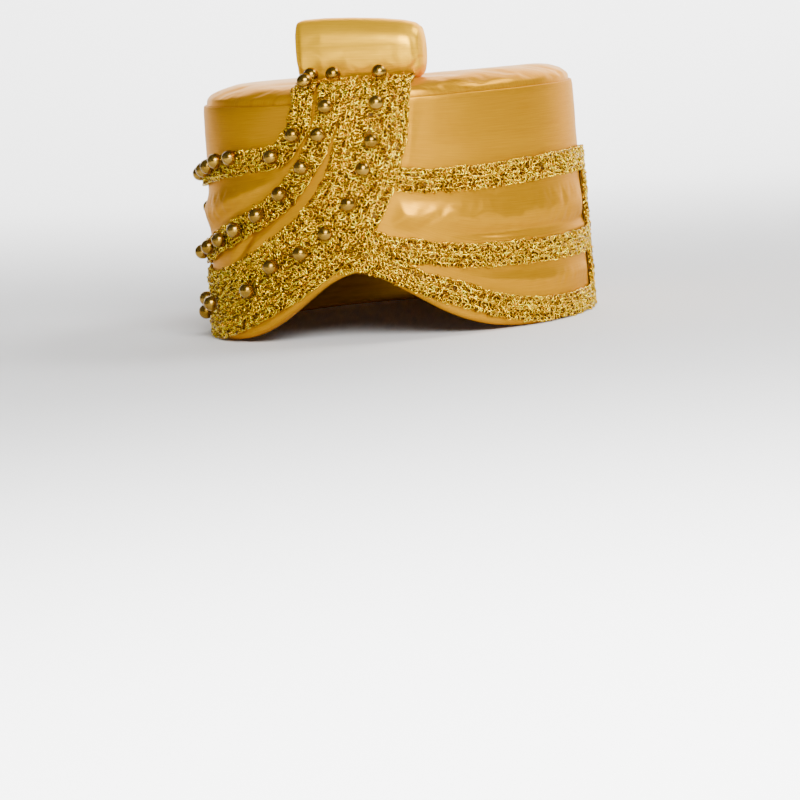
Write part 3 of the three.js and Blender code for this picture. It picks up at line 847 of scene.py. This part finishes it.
def wall_creases(turn, climb, bare):
    place = np.stack([turn * DEGREE, climb], -1)
    creases = fold_heights(place, WALL_FOLDS, (DEGREE, MM)) * smooth_step(bare, 0, 2 * MM)
    lower = ROUTES["braid_middle_right"]
    above = climb - np.interp(turn, lower["turn"], lower["climb"]) - BRAID_WIDTH / 2
    lip = smooth_step(turn, *LIP_STARTS) * (turn < RIGHT_UPRIGHT)
    lip = lip * smooth_step(bare, -0.3 * MM, 0.6 * MM) * LIP_RISE
    return creases + lip * (bell(above, *LIP_RIDGE) - VALLEY_SHARE * bell(above, *LIP_VALLEY))


# %% Make the wall
START_SWELLING = 0.7
WALL_PRESSURE = 3
WALL_SLACK = 0.009
WALL_CAP = 2.0 * MM
LOOSE_PUFF = 1.2 * MM
HEM_RIPPLE = 0.25 * MM
HEM_ROLL = 5 * MM


def wall_sewing(climb, bare, puffs):
    """1 where a braid or the seam holds the satin, and less the looser it is."""
    below_seam = smooth_step(WALL_HEIGHT - climb, 1 * MM, 10 * MM)
    calm = 1 - smooth_step(puffs, CALM_PUFF, LOOSE_PUFF) * 0.9
    return 1 - smooth_step(bare, -0.5 * MM, 1.5 * MM) * below_seam * (1 - 0.8 * calm)


def make_wall():
    wall = lay_cloth("satin_wall", WALL_COLUMNS, len(STATIONS) - 1, wall_places, wall_cut)
    mesh = wall.data
    turn = turn_of(layer(mesh, "across"))
    number = np.rint(layer(mesh, "along") * (len(STATIONS) - 1)).astype(int)
    zones = np.array([STATIONS[i][0] for i in number])
    outer = zones == "outer"
    climb = points_of(mesh)[:, 2]
    bare = bare_distance(turn, climb)
    puffs = swelling(turn, climb, bare)
    raise_satin(mesh, puffs * outer * START_SWELLING)
    sewn = np.where(outer, wall_sewing(climb, bare, puffs), 1)
    puff_out(wall, sewn, WALL_PRESSURE, WALL_SLACK, WALL_CAP)
    roll = np.isin(zones, ["outer", "outer_hem"]) * bell(climb, hem_height(turn), HEM_ROLL)
    ripples = HEM_RIPPLE * gathers(turn, 5, 3) * roll
    raise_satin(mesh, wall_creases(turn, climb, bare) * outer + ripples)
    return wall


satin_wall = make_wall()
finish_satin(satin_wall, "crown_wall", SATIN)

# %% [markdown]
# ## The cushion on top
# The top is a disc of foam under satin, set inside the wall's fold. Its edge dives into the seam,
# its shoulder is round, and it sags behind the topknot. It is laid like the wall, as a grid whose
# last row closes to a point in the middle.

# %% Where the cushion's cloth goes
CROWN_COLUMNS = 240
CROWN_SEAM_ROWS = 2
CROWN_SHOULDER_ROWS = 14
CROWN_TOP_ROWS = 20
CROWN_ROWS = CROWN_SEAM_ROWS + CROWN_SHOULDER_ROWS + CROWN_TOP_ROWS
CROWN_SEAM = 0.8 * MM
SEAM_STEP = 1 * MM


def crown_places(across, along):
    """Up out of the seam, over the shoulder and in to the middle."""
    number = along * CROWN_ROWS
    past_seam = number - CROWN_SEAM_ROWS
    inwards, up, share = shoulder(np.clip(past_seam / CROWN_SHOULDER_ROWS, 0, 1) * SHOULDER_LENGTH)
    inset = inwards + CROWN_INSET + CROWN_SEAM * (1 - smooth_step(number, 2, 8))
    shrink = np.clip((CROWN_ROWS - number) / CROWN_TOP_ROWS, 0, 1)
    angle = np.radians(turn_of(across))
    x = (EDGE[0] - inset) * np.sin(angle) * shrink
    y = -(EDGE[1] - inset) * np.cos(angle) * shrink
    sunk = np.clip(-past_seam, 0, CROWN_SEAM_ROWS) * SEAM_STEP
    z = WALL_HEIGHT + GAP + up - top_sag(x, y) * share - sunk
    return np.stack([x, y, z], -1)


def crown_cut(across, along, points):
    """The top is cut flat, so its thread runs straight across it."""
    return points[:, :2]


# %% Make the cushion
CROWN_PRESSURE = 2
CROWN_SLACK = 0.004
CROWN_CAP = 1.5 * MM
SEAM_GATHER = 0.35 * MM


def make_crown():
    crown = lay_cloth("satin_crown", CROWN_COLUMNS, CROWN_ROWS, crown_places, crown_cut)
    mesh = crown.data
    number = layer(mesh, "along") * CROWN_ROWS
    place = (points_of(mesh) - HAT_AXIS)[:, :2] - KNOT_MIDDLE
    knot = np.hypot(place[:, 0] / (KNOT_WIDTH / 2), place[:, 1] / (KNOT_DEPTH / 2))
    sewn = np.maximum(1 - smooth_step(number, 3, 6), 1 - smooth_step(knot, 0.9, 1.5))
    puff_out(crown, sewn, CROWN_PRESSURE, CROWN_SLACK, CROWN_CAP)
    near_seam = smooth_step(number, 2, 5) * bell(number, 5, 5)
    raise_satin(mesh, SEAM_GATHER * gathers(turn_of(layer(mesh, "across")), 4, 5) * near_seam)
    return crown


satin_crown = make_crown()
finish_satin(satin_crown, "crown_top", SATIN)

# %% [markdown]
# ## The topknot
# The topknot is a stuffed roll of satin lying across the front of the top. Its left end is folded
# square and its right end droops a little rounder. A grid is wrapped round its section and drawn
# in at both ends, then blown up like the rest.

# %% Where the topknot's cloth goes
# Place along the roll from -1 to 1, then foot, top and depth as shares of the knot's own.
KNOT_SECTIONS = [
    (-1, 0.2, 0.9, 0.52), (-0.97, 0.11, 0.97, 0.76), (-0.88, 0.03, 0.995, 0.92),
    (-0.55, 0, 1, 1), (-0.1, 0, 0.98, 1), (0.35, 0, 0.945, 1), (0.7, 0.02, 0.9, 0.97),
    (0.88, 0.05, 0.855, 0.9), (0.97, 0.12, 0.79, 0.74), (1, 0.21, 0.7, 0.5),
]
KNOT_SQUARENESS = 2.5
KNOT_COLUMNS = 112
KNOT_ROWS = 84
KNOT_END_ROWS = 9
KNOT_END_BULGE = 0.8 * MM


def knot_places(across, along):
    """A squarish section carried along the roll and drawn in to a point at both ends."""
    table = np.array(KNOT_SECTIONS)
    lengths = np.r_[0, np.cumsum(np.hypot(np.diff(table[:, 0]), np.diff(table[:, 3])))]
    number = along * KNOT_ROWS
    share = np.clip((number - KNOT_END_ROWS) / (KNOT_ROWS - 2 * KNOT_END_ROWS), 0, 1)
    where = share * lengths[-1]
    lie, foot, top, depth = (np.interp(where, lengths, column) for column in table.T)
    drawn = np.clip(np.minimum(number, KNOT_ROWS - number) / KNOT_END_ROWS, 0, 1)
    power = 2 / KNOT_SQUARENESS
    angle = 2 * np.pi * across
    wave_y, wave_z = np.cos(angle), np.sin(angle)
    y = np.sign(wave_y) * np.abs(wave_y) ** power * KNOT_DEPTH * depth / 2 * drawn
    z = np.sign(wave_z) * np.abs(wave_z) ** power * KNOT_HEIGHT * (top - foot) / 2 * drawn
    z = z + KNOT_HEIGHT * (top + foot) / 2
    bulge = (1 - drawn**2) * KNOT_END_BULGE * np.sign(lie)
    seat = WALL_HEIGHT + GAP + SHOULDER_RISE - float(top_sag(*KNOT_MIDDLE)) - KNOT_SINK
    x = KNOT_MIDDLE[0] + lie * KNOT_WIDTH / 2 + bulge
    return np.stack([x, KNOT_MIDDLE[1] + y, seat + z], -1)


def knot_cut(across, along, points):
    return np.stack([along * (KNOT_WIDTH + KNOT_DEPTH), across * 2 * (KNOT_HEIGHT + KNOT_DEPTH)], -1)


# %% Make the topknot
KNOT_PRESSURE = 2
KNOT_SLACK = 0.003
KNOT_CAP = 0.8 * MM
# Where a crease starts and ends on the front, across and up, then its height and width.
KNOT_FOLDS = [
    (-28.5, 30, -29.5, 6, -0.5, 1.2), (-31, 13, -24, 1, -0.8, 1.5), (-26, 22, -18, 25, -0.3, 1.5),
    (26, 31, 29, 12, -0.5, 1.3), (22, 1, 31, 13, -0.9, 1.4), (25, 1, 32, 9, 0.5, 1.4),
    (-22, 31.5, 22, 29.5, -0.3, 1.8), (-20, 8, -6, 10, -0.3, 1.6),
]


def make_knot():
    knot = lay_cloth("satin_topknot", KNOT_COLUMNS, KNOT_ROWS, knot_places, knot_cut)
    mesh = knot.data
    height = points_of(mesh)[:, 2]
    sewn = 1 - smooth_step(height - height.min(), 4 * MM, 9 * MM)
    puff_out(knot, sewn, KNOT_PRESSURE, KNOT_SLACK, KNOT_CAP)
    points = points_of(mesh)
    front = smooth_step(-points[:, 1] + points[:, 1].mean(), 0, 4 * MM)
    place = points[:, [0, 2]] - [points[:, 0].mean(), height.min()]
    raise_satin(mesh, fold_heights(place, KNOT_FOLDS, (MM, MM)) * front)
    return knot


satin_topknot = make_knot()
finish_satin(satin_topknot, "topknot", KNOT_SATIN_PAINTED_LIGHT)

# %% [markdown]
# ## The braid
# The braid is worked in loops of lurex on a narrow ground. Each row of loops is one curve that
# curls back on itself as it runs, like a telephone cord pressed flat, and a curve's bevel makes
# it a yarn. Where another braid or the topknot covers it, the yarn simply stops. Under a bead
# the loops are pressed down, so the beads are placed first. The frame says where each one sits
# and which way it faces: its flat back is the largest face of its solid.

# %% Where the beads sit
def bead_seat(node):
    """The middle of a bead's flat back and the direction that it faces."""
    bm = bmesh.new()
    bm.from_mesh(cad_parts[node].data)
    bmesh.ops.remove_doubles(bm, verts=bm.verts, dist=SAME_PLACE)
    bmesh.ops.dissolve_limit(bm, angle_limit=math.radians(1), verts=bm.verts, edges=bm.edges)
    back = max(bm.faces, key=lambda face: face.calc_area())
    seat, facing = back.calc_center_median().copy(), (-back.normal).copy()
    bm.free()
    return seat, facing


BEAD_SEATS = {node: bead_seat(node) for node in sorted(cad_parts) if node.startswith("dome")}
print(len(BEAD_SEATS), "beads to be sewn on")


def from_bead(turn, climb):
    """Distance from each place on the braid to the middle of the nearest bead."""
    seats = np.array([place for place, _ in BEAD_SEATS.values()]) - HAT_AXIS
    level = lifted_point(turn, climb, np.full(len(turn), 2 * GAP + BRAID_THICKNESS))
    return np.linalg.norm(level[:, None] - seats[None], axis=2).min(1)


# %% Which braid covers which
COVERED_BY = {
    "braid_inner": ["braid_side_left"],
    "braid_centre": ["braid_side_left"],
    "braid_hem_left": ["braid_side_left"],
    "braid_middle_left": ["braid_side_left"],
    "braid_upper_left": ["braid_side_left"],
    "braid_upper_right": ["braid_hem_left", "braid_side_right"],
    "braid_middle_right": ["braid_hem_left", "braid_centre", "braid_side_right"],
    "braid_lower_right": ["braid_hem_left", "braid_middle_right", "braid_side_right"],
    "braid_side_left": [],
    "braid_side_right": [],
}
print(sum(len(covers) for covers in COVERED_BY.values()), "places where a braid runs under another")


# %% Along a braid
CLEAR_OF_KNOT = 1 * MM


def drifting(random, count, spacing):
    """A seeded value from -1 to 1 that drifts smoothly, with a new aim every few samples."""
    aims = random.uniform(-1, 1, int(count / spacing) + 3)
    return np.interp(np.arange(count) / spacing, np.arange(len(aims)), aims)


def along_route(route, distance):
    """The route at each distance from its start, in metres."""
    stations = np.arange(len(route["turn"])) * ROUTE_STEP
    return {key: np.interp(distance, stations, values) for key, values in route.items()}


def inside_knot(points):
    """Which points lie well within the topknot's box, where nothing shows."""
    low, high = (np.array(corner) - HAT_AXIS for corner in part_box("topknot"))
    return ((points > low + CLEAR_OF_KNOT) & (points < high - CLEAR_OF_KNOT)).all(-1)


def longest_run(free):
    """The slice of the longest stretch of samples that are free."""
    edges = np.flatnonzero(np.diff(np.r_[False, free, False]))
    starts, ends = edges[::2], edges[1::2]
    if len(starts) == 0:
        return slice(0, 0)
    best = np.argmax(ends - starts)
    return slice(starts[best], ends[best])


# %% A row of loops
YARN_RADIUS = 0.42 * MM
YARN_MIDDLE = 1.7 * MM
GROUND_TOP = 1.3 * MM
LOOP_LENGTH = 2.1 * MM
LOOP_SAMPLES = 7
LOOP_REACH = 1.2 * MM
LOOP_CURL = 1.1 * MM
LOOP_RISE = 0.75 * MM
LOOP_TILT = 1.4
ROW_WANDER = 0.45 * MM
YARN_JUMP = 0.3 * MM
BEAD_PRESSES = (3.8 * MM, 6.2 * MM)
LOOP_TUCK = 0.8 * MM


def length_of(route):
    return (len(route["turn"]) - 1) * ROUTE_STEP


def loop_row(name, aside, random, middle=YARN_MIDDLE, reach=LOOP_REACH):
    """One row of loops along a braid, as points, cut where the braid is covered.

    The drifts of its phase, size, tilt, side and rise have unlike spacings, so that no two
    stretches of the row are the same.
    """
    route = ROUTES[name]
    total = length_of(route)
    count = int(total / LOOP_LENGTH * LOOP_SAMPLES)
    even = np.linspace(0, total, count)
    phase = 2 * np.pi * even / LOOP_LENGTH + random.uniform(0, 6) + 1.3 * drifting(random, count, 9)
    swing = 1 + 0.4 * drifting(random, count, 7)
    tilt = LOOP_TILT * drifting(random, count, 12)
    curl, spread = LOOP_CURL * swing * np.sin(phase), reach * swing * np.cos(phase)
    distance = np.clip(even + curl * np.cos(tilt) - spread * np.sin(tilt), 0, total)
    wander = ROW_WANDER * drifting(random, count, 10)
    side = aside + curl * np.sin(tilt) + spread * np.cos(tilt) + wander
    lean = phase + 3 * drifting(random, count, 11)
    rise = middle + LOOP_RISE * np.sin(lean) * swing + YARN_JUMP * drifting(random, count, 4)
    turn, climb = beside(along_route(route, distance), side)
    pressed = 1 - smooth_step(from_bead(turn, climb), *BEAD_PRESSES)
    rise = rise + (GROUND_TOP - rise) * pressed * (rise > GROUND_TOP)
    points = lifted_point(turn, climb, np.maximum(rise, GAP + YARN_RADIUS))
    free = ~inside_knot(points)
    if COVERED_BY[name]:
        free &= bare_distance(turn, climb, COVERED_BY[name]) > -LOOP_TUCK
    return points[longest_run(free)] + HAT_AXIS


def yarn_curve(name, rows):
    """One curve for all the rows, with a bevel that makes them yarn. Scraps are left out."""
    curve = bpy.data.curves.new(name, "CURVE")
    curve.dimensions = "3D"
    curve.bevel_depth = YARN_RADIUS
    curve.bevel_resolution = 0
    curve.use_fill_caps = True
    for points in rows:
        if len(points) < LOOP_SAMPLES:
            continue
        spline = curve.splines.new("POLY")
        spline.points.add(len(points) - 1)
        spline.points.foreach_set("co", np.c_[points, np.ones(len(points))].ravel())
    return curve


# %% The ground under the loops
# Across and up, as shares of the braid's width and of the ground's height.
GROUND_SECTION = [(-0.46, 0), (0.46, 0), (0.48, 0.6), (0.24, 1), (-0.24, 1), (-0.48, 0.6)]
GROUND_STEP = 2 * MM
GROUND_TUCK = 1 * MM


def ground_strip(name):
    """The braid's woven ground, a low band closed all round and at its ends."""
    route = ROUTES[name]
    total = length_of(route)
    even = np.linspace(0, total, int(total / GROUND_STEP))
    middle = along_route(route, even)
    points = lifted_point(middle["turn"], middle["climb"], np.full(len(even), GAP))
    free = ~inside_knot(points)
    if COVERED_BY[name]:
        free &= bare_distance(middle["turn"], middle["climb"], COVERED_BY[name]) > -GROUND_TUCK
    kept = longest_run(free)
    count = kept.stop - kept.start
    section = np.array(GROUND_SECTION + GROUND_SECTION[:1])
    bm = bmesh.new()
    bmesh.ops.create_grid(bm, x_segments=len(section) - 1, y_segments=count - 1, size=0.5)
    flat = np.array([v.co for v in bm.verts])[:, :2] + 0.5
    corner = np.rint(flat[:, 0] * (len(section) - 1)).astype(int)
    station = even[kept.start] + flat[:, 1] * (even[kept.stop - 1] - even[kept.start])
    turn, climb = beside(along_route(route, station), section[corner, 0] * BRAID_WIDTH)
    lift = GAP + section[corner, 1] * (GROUND_TOP - GAP)
    for vert, point in zip(bm.verts, lifted_point(turn, climb, lift) + HAT_AXIS):
        vert.co = point
    bmesh.ops.remove_doubles(bm, verts=bm.verts, dist=SAME_PLACE)
    bmesh.ops.holes_fill(bm, edges=[edge for edge in bm.edges if edge.is_boundary])
    bmesh.ops.recalc_face_normals(bm, faces=bm.faces)
    return bm


# %% Work each braid
ROW_SPREAD = [aside * MM for aside in (-4.6, -2.8, -0.9, 0.9, 2.8, 4.6)]
BEADED = ("braid_centre", "braid_middle_left", "braid_upper_left")
CHAIN_REACH = 0.55 * MM
CHAIN_MIDDLE = 2.3 * MM
FIRST_SEED = 11


def work_braid(name, seed):
    """Rows of loops side by side, with a chain down the middle unless a row of beads runs there."""
    random = np.random.default_rng(seed)
    rows = [loop_row(name, aside, random) for aside in ROW_SPREAD]
    if name not in BEADED:
        rows.append(loop_row(name, 0, random, CHAIN_MIDDLE, CHAIN_REACH))
    holder = bpy.data.objects.new(name + "_yarn", yarn_curve(name, rows))
    bpy.context.scene.collection.objects.link(holder)
    yarn = bpy.data.meshes.new_from_object(holder.evaluated_get(bpy.context.evaluated_depsgraph_get()))
    bpy.data.objects.remove(holder)
    bm = ground_strip(name)
    for face in bm.faces:
        face.material_index = 1
    bm.from_mesh(yarn)
    print(name, len(bm.faces), "faces")
    piece = piece_from(bm, name + "_loops", YARN, GROUND)
    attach(piece, "root")
    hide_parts(name)


for number, name in enumerate(COVERED_BY):
    work_braid(name, FIRST_SEED + number)

# %% [markdown]
# ## The beads
# Each bead is a polished ball with its back cut flat where it is sewn down. A ball is one
# operator, and a bisecting plane cuts the back.


# %% Make the beads
def make_bead(node):
    radius = DOME_DIAMETER / 2
    seat, facing = BEAD_SEATS[node]
    middle = seat + facing * (radius - DOME_CUT)
    bm = bmesh.new()
    bmesh.ops.create_uvsphere(bm, u_segments=28, v_segments=18, radius=radius)
    turned = facing.to_track_quat("Z", "Y").to_matrix().to_4x4()
    bmesh.ops.transform(bm, matrix=Matrix.Translation(middle) @ turned, verts=bm.verts)
    everything = [*bm.verts, *bm.edges, *bm.faces]
    cut = bmesh.ops.bisect_plane(bm, geom=everything, plane_co=seat, plane_no=facing, clear_inner=True)
    rim = [item for item in cut["geom_cut"] if isinstance(item, bmesh.types.BMEdge)]
    bmesh.ops.holes_fill(bm, edges=rim)
    bmesh.ops.recalc_face_normals(bm, faces=bm.faces)
    bead = piece_from(bm, node.replace("dome", "bead"), BRASS)
    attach(bead, "root")
    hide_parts(node)
    return bead


beads = [make_bead(node) for node in BEAD_SEATS]
print(len(beads), "beads")

# %% [markdown]
# ## The studio
# The photograph has a white room and a large soft lamp in front, a little to the right. A pale
# sweep of paper makes the floor and the background in one, so there is no horizon, and it stays
# far enough back to be lit evenly. The lamps for the paper have narrow beams that miss the hat.


# %% Paper sweep
SWEEP_HALF_WIDTH = 1.7
SWEEP_FRONT = -2.4
SWEEP_BEND_AT = 1.0
SWEEP_BEND = 0.9
SWEEP_TOP = 2.6


def of_kind(items, kind):
    return [item for item in items if isinstance(item, kind)]


def extrude_line(bm, line, step):
    """Draws a line of edges out into a strip and returns the new line."""
    drawn = bmesh.ops.extrude_edge_only(bm, edges=line)["geom"]
    bmesh.ops.translate(bm, vec=step, verts=of_kind(drawn, bmesh.types.BMVert))
    return of_kind(drawn, bmesh.types.BMEdge)


def make_sweep():
    bm = bmesh.new()
    corners = [bm.verts.new((side * SWEEP_HALF_WIDTH, SWEEP_FRONT, 0)) for side in (-1, 1)]
    line = extrude_line(bm, [bm.edges.new(corners)], (0, SWEEP_BEND_AT - SWEEP_FRONT, 0))
    turned = bmesh.ops.spin(bm, geom=line, cent=(0, SWEEP_BEND_AT, SWEEP_BEND), axis=(1, 0, 0),
                            angle=math.pi / 2, steps=24, use_duplicate=False)
    line = of_kind(turned["geom_last"], bmesh.types.BMEdge)
    extrude_line(bm, line, (0, 0, SWEEP_TOP - SWEEP_BEND))
    bmesh.ops.recalc_face_normals(bm, faces=bm.faces)
    paper, _, surface = new_material("white_paper")
    surface.inputs["Base Color"].default_value = (0.86, 0.86, 0.86, 1)
    surface.inputs["Roughness"].default_value = 0.9
    sweep = piece_from(bm, "paper_sweep", paper)
    return sweep


sweep = make_sweep()
print(sweep.name, len(sweep.data.polygons), "faces")


# %% Lamps
HAT_MIDDLE = (0, 0, 0.07)
# Name, place, what it aims at, width and height, watts, and the beam's spread in degrees.
LAMPS = [
    ("key", (0.62, -1.5, 0.9), HAT_MIDDLE, (0.9, 0.7), 57, 180),
    ("fill", (-1.5, -0.9, 0.5), HAT_MIDDLE, (0.8, 0.8), 0.5, 180),
    ("top", (1.05, 0.35, 1.25), HAT_MIDDLE, (0.9, 0.6), 20, 180),
    ("backdrop", (0.1, 0.9, 2.0), (-0.1, 1.75, 0.6), (2.4, 0.5), 85, 100),
    ("low", (0.35, -1.5, 0.1), (0, 0, 0.05), (0.6, 0.15), 2.5, 180),
    ("floor", (0.25, -0.95, 1.2), (0.25, -0.95, 0), (0.5, 0.5), 10, 60),
]
ROOM_LIGHT = 0.16


def make_lamp(name, place, aim, size, power, spread):
    data = bpy.data.lights.new(name, "AREA")
    data.shape = "RECTANGLE"
    data.size, data.size_y = size
    data.energy = power
    data.spread = math.radians(spread)
    lamp = bpy.data.objects.new(name, data)
    lamp.location = place
    direction = Vector(aim) - Vector(place)
    lamp.rotation_euler = direction.to_track_quat("-Z", "Y").to_euler()
    bpy.context.scene.collection.objects.link(lamp)


for lamp in LAMPS:
    make_lamp(*lamp)
world = bpy.data.worlds.new("studio")
world.use_nodes = True
background = world.node_tree.nodes["Background"].inputs
background["Color"].default_value = (1, 1, 1, 1)
background["Strength"].default_value = ROOM_LIGHT
bpy.context.scene.world = world
print(len(LAMPS), "lamps of", sum(lamp[4] for lamp in LAMPS), "watts in all")
